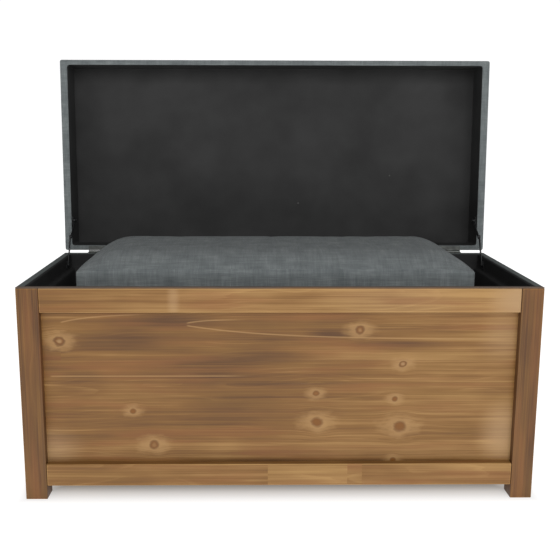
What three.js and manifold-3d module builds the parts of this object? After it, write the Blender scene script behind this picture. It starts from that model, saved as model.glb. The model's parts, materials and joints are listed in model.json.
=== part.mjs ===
// Storage bench: a framed wooden chest with an upholstered box lid on a continuous hinge and two
// folding stays, holding a smaller upholstered bench inside. Millimetres, +Z up, +X to the right,
// the front faces -Y. The lid is built closed and then turned open about its hinge.
import * as THREE from "three";
import { mergeVertices } from "three/addons/utils/BufferGeometryUtils.js";
import Module from "manifold-3d";

const wasm = await Module();
wasm.setup();

// ---- Driving dimensions -------------------------------------------------------------------------
const GAP = 0.3; // clearance between touching pieces
const SHEET = 1.2; // thickness of a fabric cover or lining
const KNIT = 1; // how far shapes that are joined run into each other, and cutters past a face

const CHEST = {
  width: 900,
  depth: 398,
  height: 381, // top of the posts and top rails
  post: 38, // square post section
  wall: 15, // post legs and rails, from the outer face
  railSetBack: 1,
  topRail: 42, // rail heights
  bottomRail: 40,
  footClearance: 25, // bottom rail above the floor
  panel: 8,
  panelLap: 13, // how far a panel reaches up behind its top rail
  floor: 9,
  floorHeight: 45, // underside of the floor board
  batten: 18,
  trim: 1.7, // edge banding on the rim
  trimWidth: 12, // from the outer face; the lining is folded over the rest of the rim
};

const LID = {
  openAngle: 93, // from closed to resting open, in degrees
  sideWall: 15, // finished thickness of the short walls
  longWall: 10, // finished thickness of the front and back walls
  wallHeight: 86, // rim plane to the start of the padding's curve
  recess: 71, // depth of the hollow inside
  board: 9,
  crown: 34,
  shoulder: 65,
  corner: 2,
};

const HINGE = {
  length: 800,
  leaf: 1.2,
  leafWidth: 9,
  knuckles: 16,
  radius: 3,
  bore: 1.5,
  pin: 1.2,
  endPlay: 0.25,
  sides: 16,
};

const STAY = {
  reach: 68, // hinge axis to either fixed pivot
  basePivotAngle: 195.3, // direction of the chest pivot from the hinge axis, in degrees from +Y
  lidPivotAngle: 74.7, // direction of the lid pivot with the lid open
  arm: 62, // pivot to elbow
  width: 8,
  thickness: 1.5,
  pin: 2,
  head: 4,
  rivet: 3.2, // radius of the elbow's rivet heads
  headThickness: 1,
  plateWidth: 18,
  plateHeight: 16,
};

const NESTED = {
  left: -357,
  right: 343,
  front: 50,
  back: 350,
  seatHeight: 398.5, // top edge of its cover, above the floor
  skirt: 60,
  crown: 33,
  shoulder: 62,
  corner: 2,
  post: 30,
  panel: 12,
  board: 16,
  padEdge: 4.5, // seat board's top below the cover's top edge
  railHeight: 22, // its panels above its feet
};

// ---- Materials ----------------------------------------------------------------------------------
const finish = (color, roughness, metalness) => ({ color, roughness, metalness });
const WOOD = finish(0x9a7346, 0.55, 0);
const PLYWOOD = finish(0xb79a6c, 0.7, 0);
const CHARCOAL = finish(0x4a4c4b, 0.85, 0);
const LINING = finish(0x2b2c2c, 0.95, 0);
const UPHOLSTERY = finish(0x707676, 0.95, 0);
const FOAM = finish(0xe2dcc6, 0.9, 0);
const ZINC = finish(0x8f8f8a, 0.4, 0.9);
const BLACK_STEEL = finish(0x1c1d1e, 0.45, 0.8);

// ---- Geometry helpers ---------------------------------------------------------------------------
// A closed three.js geometry as a solid that can be cut and joined.
function solid(geometry) {
  const bare = geometry.clone();
  bare.deleteAttribute("normal");
  bare.deleteAttribute("uv");
  const merged = mergeVertices(bare, 1e-4);
  return new wasm.Manifold(
    new wasm.Mesh({
      numProp: 3,
      vertProperties: merged.attributes.position.array,
      triVerts: new Uint32Array(merged.index.array),
    }),
  );
}

function geometryOf(shape) {
  const made = shape.getMesh();
  return new THREE.BufferGeometry()
    .setAttribute("position", new THREE.BufferAttribute(made.vertProperties, 3))
    .setIndex(new THREE.BufferAttribute(made.triVerts, 1));
}

function boxGeometry(low, high) {
  const [width, depth, height] = high.map((value, axis) => value - low[axis]);
  const centre = high.map((value, axis) => (value + low[axis]) / 2);
  return new THREE.BoxGeometry(width, depth, height).translate(...centre);
}

const boxSolid = (low, high) => solid(boxGeometry(low, high));
const union = (shapes) => shapes.reduce((all, next) => all.add(next));

function piece(group, name, material, geometry) {
  const mesh = new THREE.Mesh(geometry, new THREE.MeshStandardMaterial(material));
  mesh.name = name;
  group.add(mesh);
  return mesh;
}

const board = (group, name, material, low, high) => piece(group, name, material, boxGeometry(low, high));

// A cylinder along X from x = from to x = to, centred on (y, z).
function rod(from, to, y, z, radius, sides = 24) {
  const cylinder = new THREE.CylinderGeometry(radius, radius, Math.abs(to - from), sides);
  return solid(cylinder.rotateZ(Math.PI / 2).translate((from + to) / 2, y, z));
}

// A vertical prism with rounded corners, standing on z = 0 and centred on the origin.
function roundedPrism(width, depth, height, radius) {
  const outline = new THREE.Shape();
  const [x, y] = [width / 2 - radius, depth / 2 - radius];
  outline.absarc(x, y, radius, 0, Math.PI / 2);
  outline.absarc(-x, y, radius, Math.PI / 2, Math.PI);
  outline.absarc(-x, -y, radius, Math.PI, 1.5 * Math.PI);
  outline.absarc(x, -y, radius, 1.5 * Math.PI, 2 * Math.PI);
  const prism = { depth: height, bevelEnabled: false, curveSegments: 4 };
  return solid(new THREE.ExtrudeGeometry(outline, prism));
}

// A block with upright walls and a padded top: above the walls it curves in over the shoulder to a
// flat crown. It stands on z = 0 and is centred on the origin.
function paddedBlock(width, depth, wallHeight, crown, shoulder, corner) {
  const [x, y] = [width / 2 - shoulder, depth / 2 - shoulder];
  const plateau = new THREE.Shape([
    new THREE.Vector2(-x, -y),
    new THREE.Vector2(x, -y),
    new THREE.Vector2(x, y),
    new THREE.Vector2(-x, y),
  ]);
  const domed = solid(
    new THREE.ExtrudeGeometry(plateau, {
      depth: wallHeight,
      bevelThickness: crown,
      bevelSize: shoulder,
      bevelSegments: 6,
    }),
  );
  return domed.intersect(roundedPrism(width, depth, wallHeight + 2 * crown, corner));
}

// ---- Chest --------------------------------------------------------------------------------------
const SIDES = [
  { side: "left", sign: -1 },
  { side: "right", sign: 1 },
];
const ENDS = ["front", "rear"];
const halfWidth = CHEST.width / 2;
const rimTop = CHEST.height + GAP + CHEST.trim;
const panelFace = CHEST.wall + GAP;
const panelBack = panelFace + CHEST.panel;
const panelTop = CHEST.height - CHEST.topRail + CHEST.panelLap;
const liningFace = panelBack + GAP;
const liningBack = liningFace + SHEET;
const rimLiningBack = panelFace + SHEET;
const floorTop = CHEST.floorHeight + CHEST.floor;
const floorLiningTop = floorTop + GAP + SHEET;

// Box limits on a front or rear wall: near and far are depths from that wall's outer face.
function acrossLimits(end, x, near, far, bottom, top) {
  const front = end === "front";
  return [
    [-x, front ? near : CHEST.depth - far, bottom],
    [x, front ? far : CHEST.depth - near, top],
  ];
}

// Box limits on a side wall, between two distances from the front face.
function alongLimits(sign, near, far, front, back, bottom, top) {
  const [a, b] = [sign * (halfWidth - near), sign * (halfWidth - far)];
  return [
    [Math.min(a, b), front, bottom],
    [Math.max(a, b), back, top],
  ];
}

function addPosts(group) {
  for (const end of ENDS) {
    for (const { side, sign } of SIDES) {
      const front = end === "front" ? 0 : CHEST.depth - CHEST.post;
      const back = front + CHEST.post;
      const full = boxSolid(...alongLimits(sign, 0, CHEST.post, front, back, 0, CHEST.height));
      const innerFront = end === "front" ? CHEST.wall : 0;
      const innerBack = end === "front" ? CHEST.depth : CHEST.depth - CHEST.wall;
      const rebateFloor = CHEST.floorHeight - GAP;
      const rebateTop = CHEST.height + CHEST.post;
      const rebate = boxSolid(
        ...alongLimits(sign, CHEST.wall, 2 * CHEST.post, innerFront, innerBack, rebateFloor, rebateTop),
      );
      piece(group, `post_${end}_${side}`, WOOD, geometryOf(full.subtract(rebate)));
    }
  }
}

function addRails(group) {
  const reach = halfWidth - CHEST.post - GAP;
  const [near, far] = [CHEST.railSetBack, CHEST.wall];
  const [front, back] = [CHEST.post + GAP, CHEST.depth - CHEST.post - GAP];
  const levels = {
    top_rail: [CHEST.height - CHEST.topRail, CHEST.height],
    bottom_rail: [CHEST.footClearance, CHEST.footClearance + CHEST.bottomRail],
  };
  for (const [rail, [bottom, top]] of Object.entries(levels)) {
    for (const end of ENDS) {
      board(group, `${rail}_${end}`, WOOD, ...acrossLimits(end, reach, near, far, bottom, top));
    }
    for (const { side, sign } of SIDES) {
      board(group, `${rail}_${side}`, WOOD, ...alongLimits(sign, near, far, front, back, bottom, top));
    }
  }
}

function addPanels(group) {
  const bottom = floorTop + GAP;
  for (const end of ENDS) {
    const limits = acrossLimits(end, halfWidth - panelFace, panelFace, panelBack, bottom, panelTop);
    board(group, `panel_${end}`, WOOD, ...limits);
  }
  const [front, back] = [panelBack + GAP, CHEST.depth - panelBack - GAP];
  for (const { side, sign } of SIDES) {
    const limits = alongLimits(sign, panelFace, panelBack, front, back, bottom, panelTop);
    board(group, `panel_${side}`, WOOD, ...limits);
  }
}

function addFloor(group) {
  const reach = halfWidth - CHEST.post - GAP;
  const battenTop = CHEST.floorHeight - GAP;
  for (const end of ENDS) {
    const limits = acrossLimits(
      end,
      reach,
      panelFace,
      panelFace + CHEST.batten,
      battenTop - CHEST.batten,
      battenTop,
    );
    board(group, `floor_batten_${end}`, PLYWOOD, ...limits);
  }
  board(
    group,
    "floor_board",
    PLYWOOD,
    [panelFace - halfWidth, panelFace, CHEST.floorHeight],
    [halfWidth - panelFace, CHEST.depth - panelFace, floorTop],
  );
  const inset = liningBack + GAP;
  board(
    group,
    "lining_floor",
    LINING,
    [inset - halfWidth, inset, floorTop + GAP],
    [halfWidth - inset, CHEST.depth - inset, floorLiningTop],
  );
}

// Each wall's lining is folded over the rim up to the trim, hangs behind the top rail, steps in over
// the panel's top edge and runs down the panel to the floor.
function addWallLinings(group) {
  const [bottom, step, fold] = [floorLiningTop + GAP, panelTop + GAP, CHEST.height + GAP];
  const top = fold + SHEET;
  const [wide, narrow] = [halfWidth - panelFace, halfWidth - liningFace];
  const foldEdge = CHEST.trimWidth + GAP;
  for (const end of ENDS) {
    const sheets = [
      acrossLimits(end, halfWidth - foldEdge, foldEdge, rimLiningBack, fold, top),
      acrossLimits(end, wide, panelFace, rimLiningBack, step, top),
      acrossLimits(end, wide, panelFace, liningBack, step, step + SHEET),
      acrossLimits(end, narrow, liningFace, liningBack, bottom, step + SHEET),
    ];
    const joined = union(sheets.map((limits) => boxSolid(...limits)));
    piece(group, `lining_${end}`, LINING, geometryOf(joined));
  }
  const rimFront = rimLiningBack + GAP;
  const wallFront = liningBack + GAP;
  for (const { side, sign } of SIDES) {
    const between = (near, far, front, low, high) =>
      alongLimits(sign, near, far, front, CHEST.depth - front, low, high);
    const sheets = [
      between(foldEdge, rimLiningBack, rimFront, fold, top),
      between(panelFace, rimLiningBack, rimFront, step + SHEET + GAP, top),
      between(panelFace, rimLiningBack, wallFront, step, step + SHEET + 2 * GAP),
      between(panelFace, liningBack, wallFront, step, step + SHEET),
      between(liningFace, liningBack, wallFront, bottom, step + SHEET),
    ];
    const joined = union(sheets.map((limits) => boxSolid(...limits)));
    piece(group, `lining_${side}`, LINING, geometryOf(joined));
  }
}

function addRimTrim(group) {
  const bottom = CHEST.height + GAP;
  for (const end of ENDS) {
    const limits = acrossLimits(end, halfWidth, 0, CHEST.trimWidth, bottom, rimTop);
    board(group, `rim_trim_${end}`, CHARCOAL, ...limits);
  }
  const front = CHEST.trimWidth + GAP;
  for (const { side, sign } of SIDES) {
    const limits = alongLimits(sign, 0, CHEST.trimWidth, front, CHEST.depth - front, bottom, rimTop);
    board(group, `rim_trim_${side}`, CHARCOAL, ...limits);
  }
}

// ---- Continuous hinge ---------------------------------------------------------------------------
const lowerLeaf = rimTop + GAP;
const upperLeaf = lowerLeaf + HINGE.leaf + GAP;
const rimPlane = upperLeaf + HINGE.leaf + GAP; // the closed lid's rim
const axis = {
  y: CHEST.depth + GAP + HINGE.radius,
  z: (lowerLeaf + upperLeaf + HINGE.leaf) / 2,
};

// One leaf of the hinge: a plate, and a rolled knuckle on every second length of the pin.
function hingeLeaf(bottom, first) {
  const pitch = HINGE.length / HINGE.knuckles;
  const plateBack = axis.y - HINGE.radius - GAP;
  const parts = [
    boxSolid(
      [-HINGE.length / 2, plateBack - HINGE.leafWidth, bottom],
      [HINGE.length / 2, plateBack, bottom + HINGE.leaf],
    ),
  ];
  const ring = [
    [HINGE.bore, 0],
    [HINGE.radius, 0],
    [HINGE.radius, pitch - 2 * HINGE.endPlay],
    [HINGE.bore, pitch - 2 * HINGE.endPlay],
    [HINGE.bore, 0],
  ].map(([radius, height]) => new THREE.Vector2(radius, height));
  const tabBack = axis.y - HINGE.bore - GAP;
  for (let index = first; index < HINGE.knuckles; index += 2) {
    const start = index * pitch - HINGE.length / 2 + HINGE.endPlay;
    const end = start + pitch - 2 * HINGE.endPlay;
    const knuckle = new THREE.LatheGeometry(ring, HINGE.sides);
    parts.push(solid(knuckle.rotateZ(-Math.PI / 2).translate(start, axis.y, axis.z)));
    parts.push(boxSolid([start, plateBack - KNIT, bottom], [end, tabBack, bottom + HINGE.leaf]));
  }
  return geometryOf(union(parts));
}

function addHinge(chest, lid) {
  piece(chest, "hinge_leaf_wall", ZINC, hingeLeaf(lowerLeaf, 0));
  const pin = rod(-HINGE.length / 2, HINGE.length / 2, axis.y, axis.z, HINGE.pin, HINGE.sides);
  piece(chest, "hinge_pin", ZINC, geometryOf(pin));
  piece(lid, "hinge_leaf_lid", ZINC, hingeLeaf(upperLeaf, 1));
}

// ---- Upholstered box lid ------------------------------------------------------------------------
const boardInset = SHEET + GAP;
const lidBoard = {
  side: LID.sideWall - 2 * boardInset,
  long: LID.longWall - 2 * boardInset,
  bottom: rimPlane + boardInset,
  top: rimPlane + LID.recess + SHEET,
};

function addLidBoards(group) {
  const { bottom, top } = lidBoard;
  const far = boardInset + lidBoard.side;
  for (const { side, sign } of SIDES) {
    const limits = alongLimits(sign, boardInset, far, boardInset, CHEST.depth - boardInset, bottom, top);
    board(group, `lid_board_${side}`, PLYWOOD, ...limits);
  }
  for (const end of ENDS) {
    const reach = halfWidth - far - GAP;
    const limits = acrossLimits(end, reach, boardInset, boardInset + lidBoard.long, bottom, top);
    board(group, `lid_board_${end}`, PLYWOOD, ...limits);
  }
  board(
    group,
    "lid_board_top",
    PLYWOOD,
    [boardInset - halfWidth, boardInset, top + GAP],
    [halfWidth - boardInset, CHEST.depth - boardInset, top + GAP + LID.board],
  );
}

// A fabric skin over a padded block, from its rim plane up: hollow inside, and turned in under the
// rim as far as the walls are thick.
function upholsteryCover(width, depth, wallHeight, pad, wallX, wallY) {
  const outer = paddedBlock(width, depth, wallHeight, pad.crown, pad.shoulder, pad.corner);
  const inside = paddedBlock(
    width - 2 * SHEET,
    depth - 2 * SHEET,
    wallHeight - SHEET,
    pad.crown - SHEET,
    pad.shoulder,
    pad.corner - SHEET,
  );
  const mouth = boxSolid(
    [wallX - width / 2, wallY - depth / 2, -SHEET],
    [width / 2 - wallX, depth / 2 - wallY, 2 * SHEET],
  );
  return outer.subtract(inside.translate([0, 0, SHEET])).subtract(mouth);
}

// The foam that fills a cover's dome, standing on a board whose top is boardTop above the rim.
function foamPad(width, depth, wallHeight, pad, boardTop) {
  const inset = 2 * boardInset;
  return paddedBlock(
    width - inset,
    depth - inset,
    wallHeight - boardTop - 2 * GAP,
    pad.crown - SHEET - 2 * GAP,
    pad.shoulder,
    pad.corner - boardInset,
  ).translate([0, 0, boardTop + GAP]);
}

function addLidUpholstery(group) {
  const middle = [0, CHEST.depth / 2, rimPlane];
  const { width, depth } = CHEST;
  const cover = upholsteryCover(width, depth, LID.wallHeight, LID, LID.sideWall, LID.longWall);
  piece(group, "lid_cover", UPHOLSTERY, geometryOf(cover.translate(middle)));
  const boardTop = lidBoard.top + GAP + LID.board - rimPlane;
  const foam = foamPad(width, depth, LID.wallHeight, LID, boardTop);
  piece(group, "lid_foam", FOAM, geometryOf(foam.translate(middle)));
  const hollow = boxSolid(
    [LID.sideWall - halfWidth, LID.longWall, rimPlane - KNIT],
    [halfWidth - LID.sideWall, CHEST.depth - LID.longWall, rimPlane + LID.recess],
  );
  const skin = boxSolid(
    [LID.sideWall - SHEET - halfWidth, LID.longWall - SHEET, rimPlane + boardInset],
    [halfWidth - LID.sideWall + SHEET, CHEST.depth - LID.longWall + SHEET, rimPlane + LID.recess + SHEET],
  );
  piece(group, "lid_lining", LINING, geometryOf(skin.subtract(hollow)));
}

// ---- Folding stays ------------------------------------------------------------------------------
const radians = THREE.MathUtils.degToRad;
const hingePoint = new THREE.Vector2(axis.y, axis.z);
const polar = (distance, angle) =>
  new THREE.Vector2(Math.cos(angle), Math.sin(angle)).multiplyScalar(distance).add(hingePoint);

// The four pivots form a kite about the hinge axis, with the elbow on its centre line, on the far
// side from the hinge. All are (y, z) points with the lid open.
const halfSpread = radians((STAY.basePivotAngle - STAY.lidPivotAngle) / 2);
const elbowReach =
  STAY.reach * Math.cos(halfSpread) +
  Math.sqrt(STAY.arm ** 2 - (STAY.reach * Math.sin(halfSpread)) ** 2);
const pivots = {
  base: polar(STAY.reach, radians(STAY.basePivotAngle)),
  lid: polar(STAY.reach, radians(STAY.lidPivotAngle)),
  elbow: polar(elbowReach, radians((STAY.basePivotAngle + STAY.lidPivotAngle) / 2)),
};
const closing = radians(LID.openAngle);
const whenClosed = (point) => point.clone().rotateAround(hingePoint, closing);

// Distances from the chest's centre plane of the stay's layers, from the wall inwards.
const stayLayers = (() => {
  const wall = halfWidth - rimLiningBack - GAP;
  const lower = wall - STAY.thickness - GAP;
  const upper = lower - STAY.thickness - GAP;
  return { wall, lower, upper, lid: halfWidth - LID.sideWall - GAP };
})();

// A flat arm between two (y, z) pivots, with round ends, a bore at the first and half of a rivet at
// the elbow on the given face.
function stayArm(sign, layer, pivot, elbow, headOutside) {
  const [outer, inner] = [sign * layer, sign * (layer - STAY.thickness)];
  const length = pivot.distanceTo(elbow);
  const strip = new THREE.Shape();
  strip.absarc(0, 0, STAY.width / 2, Math.PI / 2, 1.5 * Math.PI);
  strip.absarc(length, 0, STAY.width / 2, 1.5 * Math.PI, 2.5 * Math.PI);
  const flat = new THREE.ExtrudeGeometry(strip, {
    depth: STAY.thickness,
    bevelEnabled: false,
    curveSegments: 8,
  });
  const direction = elbow.clone().sub(pivot).angle();
  const standing = new THREE.Matrix4().makeBasis(
    new THREE.Vector3(0, Math.cos(direction), Math.sin(direction)),
    new THREE.Vector3(0, -Math.sin(direction), Math.cos(direction)),
    new THREE.Vector3(1, 0, 0),
  );
  standing.setPosition(Math.min(outer, inner), pivot.x, pivot.y);
  const past = sign * KNIT;
  const bore = rod(outer + past, inner - past, pivot.x, pivot.y, STAY.pin + GAP);
  const face = headOutside ? outer : inner;
  const lift = (headOutside ? 1 : -1) * sign * STAY.headThickness;
  const rivet = rod(face - lift, face + lift, elbow.x, elbow.y, STAY.rivet);
  return geometryOf(solid(flat.applyMatrix4(standing)).subtract(bore).add(rivet));
}

// A wall plate that carries an arm on a headed pin.
function stayBracket(sign, plateLayer, armLayer, pivot) {
  const at = (layer) => sign * layer;
  const plateInner = plateLayer - STAY.thickness;
  const armInner = armLayer - STAY.thickness;
  const [near, far] = [at(plateLayer), at(plateInner)].sort((a, b) => a - b);
  const plate = boxSolid(
    [near, pivot.x - STAY.plateWidth / 2, pivot.y - STAY.plateHeight / 2],
    [far, pivot.x + STAY.plateWidth / 2, pivot.y + STAY.plateHeight / 2],
  );
  const headBase = armInner - GAP;
  const parts = [
    plate,
    rod(at(plateInner + GAP), at(headBase - STAY.headThickness / 2), pivot.x, pivot.y, STAY.pin),
    rod(at(headBase), at(headBase - STAY.headThickness), pivot.x, pivot.y, STAY.head),
  ];
  const spacerEnd = armLayer + GAP;
  if (plateInner - spacerEnd > GAP) {
    parts.push(rod(at(plateInner + GAP), at(spacerEnd), pivot.x, pivot.y, STAY.head));
  }
  return geometryOf(union(parts));
}

function addStays(chest, lid) {
  const lidPivot = whenClosed(pivots.lid);
  const lidElbow = whenClosed(pivots.elbow);
  const { wall, lower, upper, lid: lidWall } = stayLayers;
  for (const { side, sign } of SIDES) {
    const wallBracket = stayBracket(sign, wall, lower, pivots.base);
    const lowerArm = stayArm(sign, lower, pivots.base, pivots.elbow, true);
    const lidBracket = stayBracket(sign, lidWall, upper, lidPivot);
    const upperArm = stayArm(sign, upper, lidPivot, lidElbow, false);
    piece(chest, `stay_bracket_wall_${side}`, BLACK_STEEL, wallBracket);
    piece(chest, `stay_arm_lower_${side}`, BLACK_STEEL, lowerArm);
    piece(lid, `stay_bracket_lid_${side}`, BLACK_STEEL, lidBracket);
    piece(lid, `stay_arm_upper_${side}`, BLACK_STEEL, upperArm);
  }
}

// ---- Nested bench -------------------------------------------------------------------------------
function addNestedBench(group) {
  const { left, right, front, back } = NESTED;
  const feet = floorLiningTop + GAP;
  const coverBottom = NESTED.seatHeight - NESTED.skirt;
  const boardTop = NESTED.seatHeight - NESTED.padEdge;
  const boardBottom = boardTop - NESTED.board;
  const bodyTop = boardBottom - GAP;
  const inset = boardInset;
  const columns = {
    left: [left + inset, left + inset + NESTED.post],
    right: [right - inset - NESTED.post, right - inset],
  };
  const rows = {
    front: [front + inset, front + inset + NESTED.post],
    rear: [back - inset - NESTED.post, back - inset],
  };
  for (const [end, [y0, y1]] of Object.entries(rows)) {
    for (const [side, [x0, x1]] of Object.entries(columns)) {
      board(group, `nested_post_${end}_${side}`, WOOD, [x0, y0, feet], [x1, y1, bodyTop]);
    }
  }
  const panelBottom = feet + NESTED.railHeight;
  const facing = { front: [0, NESTED.panel], rear: [NESTED.post - NESTED.panel, NESTED.post] };
  for (const [end, [start]] of Object.entries(rows)) {
    board(
      group,
      `nested_panel_${end}`,
      WOOD,
      [columns.left[1] + GAP, start + facing[end][0], panelBottom],
      [columns.right[0] - GAP, start + facing[end][1], bodyTop],
    );
  }
  const outward = { left: facing.front, right: facing.rear };
  for (const [side, [start]] of Object.entries(columns)) {
    board(
      group,
      `nested_panel_${side}`,
      WOOD,
      [start + outward[side][0], rows.front[1] + GAP, panelBottom],
      [start + outward[side][1], rows.rear[0] - GAP, bodyTop],
    );
  }
  board(
    group,
    "nested_seat_board",
    PLYWOOD,
    [left + inset, front + inset, boardBottom],
    [right - inset, back - inset, boardTop],
  );
  const [width, depth] = [right - left, back - front];
  const middle = [(left + right) / 2, (front + back) / 2, coverBottom];
  const cover = upholsteryCover(width, depth, NESTED.skirt, NESTED, SHEET, SHEET);
  piece(group, "nested_cover", UPHOLSTERY, geometryOf(cover.translate(middle)));
  const foam = foamPad(width, depth, NESTED.skirt, NESTED, boardTop - coverBottom);
  piece(group, "nested_foam", FOAM, geometryOf(foam.translate(middle)));
}

// ---- Assembly -----------------------------------------------------------------------------------
const bench = new THREE.Group();
const chest = new THREE.Group();
// The lid turns about the hinge axis; its own pieces keep the closed lid's coordinates.
const lidPivotGroup = new THREE.Group();
const lid = new THREE.Group();
lidPivotGroup.position.set(0, axis.y, axis.z);
lidPivotGroup.rotation.x = -closing;
lid.position.set(0, -axis.y, -axis.z);
lidPivotGroup.add(lid);
bench.add(chest, lidPivotGroup);

addPosts(chest);
addRails(chest);
addPanels(chest);
addFloor(chest);
addWallLinings(chest);
addRimTrim(chest);
addHinge(chest, lid);
addLidBoards(lid);
addLidUpholstery(lid);
addStays(chest, lid);
addNestedBench(chest);

// The origin is on the floor, under the middle of the open bench's bounding box.
bench.updateMatrixWorld(true);
const bounds = new THREE.Box3().setFromObject(bench, true);
bench.position.y = -(bounds.min.y + bounds.max.y) / 2;

export default bench;
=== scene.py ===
"""Storage bench: the looks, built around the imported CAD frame.

Every piece takes its place from the frame. Metres, +Z up, +X to the right, the front faces -Y.
The lid's pieces are made as if it were shut, and their objects are then turned open on the hinge.
"""

import json
import math
from itertools import accumulate, product

import bmesh
import bpy
from mathutils import Matrix, Vector, noise

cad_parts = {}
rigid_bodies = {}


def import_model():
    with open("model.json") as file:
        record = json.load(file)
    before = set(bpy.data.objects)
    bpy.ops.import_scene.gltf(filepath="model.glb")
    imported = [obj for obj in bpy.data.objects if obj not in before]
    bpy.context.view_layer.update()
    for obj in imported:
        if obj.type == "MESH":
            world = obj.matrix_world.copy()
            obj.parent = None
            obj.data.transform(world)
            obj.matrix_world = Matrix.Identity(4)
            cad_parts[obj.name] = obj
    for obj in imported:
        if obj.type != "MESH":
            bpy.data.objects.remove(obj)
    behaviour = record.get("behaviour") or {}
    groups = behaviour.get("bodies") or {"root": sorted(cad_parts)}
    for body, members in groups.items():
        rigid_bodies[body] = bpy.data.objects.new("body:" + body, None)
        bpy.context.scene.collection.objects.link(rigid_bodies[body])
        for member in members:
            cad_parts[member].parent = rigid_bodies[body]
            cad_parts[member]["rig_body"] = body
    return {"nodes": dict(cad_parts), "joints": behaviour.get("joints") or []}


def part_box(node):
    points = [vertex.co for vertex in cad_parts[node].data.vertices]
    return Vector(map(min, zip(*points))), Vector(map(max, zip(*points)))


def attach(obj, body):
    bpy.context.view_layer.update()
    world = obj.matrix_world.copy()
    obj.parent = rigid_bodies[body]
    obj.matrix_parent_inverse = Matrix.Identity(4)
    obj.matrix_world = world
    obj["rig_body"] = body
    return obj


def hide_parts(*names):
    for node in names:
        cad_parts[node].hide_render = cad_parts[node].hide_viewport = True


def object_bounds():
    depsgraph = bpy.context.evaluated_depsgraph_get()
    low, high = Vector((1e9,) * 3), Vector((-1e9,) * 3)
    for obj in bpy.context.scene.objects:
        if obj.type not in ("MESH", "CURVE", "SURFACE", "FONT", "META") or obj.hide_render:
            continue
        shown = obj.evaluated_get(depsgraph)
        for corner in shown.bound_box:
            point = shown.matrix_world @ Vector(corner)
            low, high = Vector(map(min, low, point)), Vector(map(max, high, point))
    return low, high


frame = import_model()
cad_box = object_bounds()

MM = 0.001
GAP = 0.3 * MM  # clearance between touching CAD pieces
FABRIC = 1.2 * MM
SIDES = {"left": -1, "right": 1}
ENDS = {"front": -1, "rear": 1}
WALLS = (*ENDS, *SIDES)

# ---- The frame
lid_hinge = next(joint for joint in frame["joints"] if joint["name"] == "lid_hinge")
pivot = Vector(lid_hinge["pos_m"])
open_angle = math.radians(lid_hinge["range_deg"][1])
SHUT = Matrix.Translation(pivot) @ Matrix.Rotation(open_angle, 4, "X") @ Matrix.Translation(-pivot)
OPEN = SHUT.inverted()


def box_round(points):
    """The lowest and the highest corner of the box round some points."""
    return Vector(map(min, zip(*points))), Vector(map(max, zip(*points)))


def own_box(node):
    """The box round a CAD node, with the lid shut."""
    source = frame["nodes"][node]
    turn = SHUT if source["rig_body"] == "lid" else Matrix.Identity(4)
    return box_round([turn @ vertex.co for vertex in source.data.vertices])


def settle(piece, body, slot, *nodes):
    """Puts a finished piece on its body, standing for its CAD nodes. slot is not used."""
    if body == "lid":
        piece.matrix_world = OPEN
    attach(piece, body)
    if nodes:
        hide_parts(*nodes)
    return piece


# ---- Shader helpers
def srgb(red, green, blue):
    """A colour of 0 to 255 a channel as the linear colour that shaders take."""
    linear = [
        (value / 255 / 12.92) if value <= 10 else ((value / 255 + 0.055) / 1.055) ** 2.4
        for value in (red, green, blue)
    ]
    return (*linear, 1.0)


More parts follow.
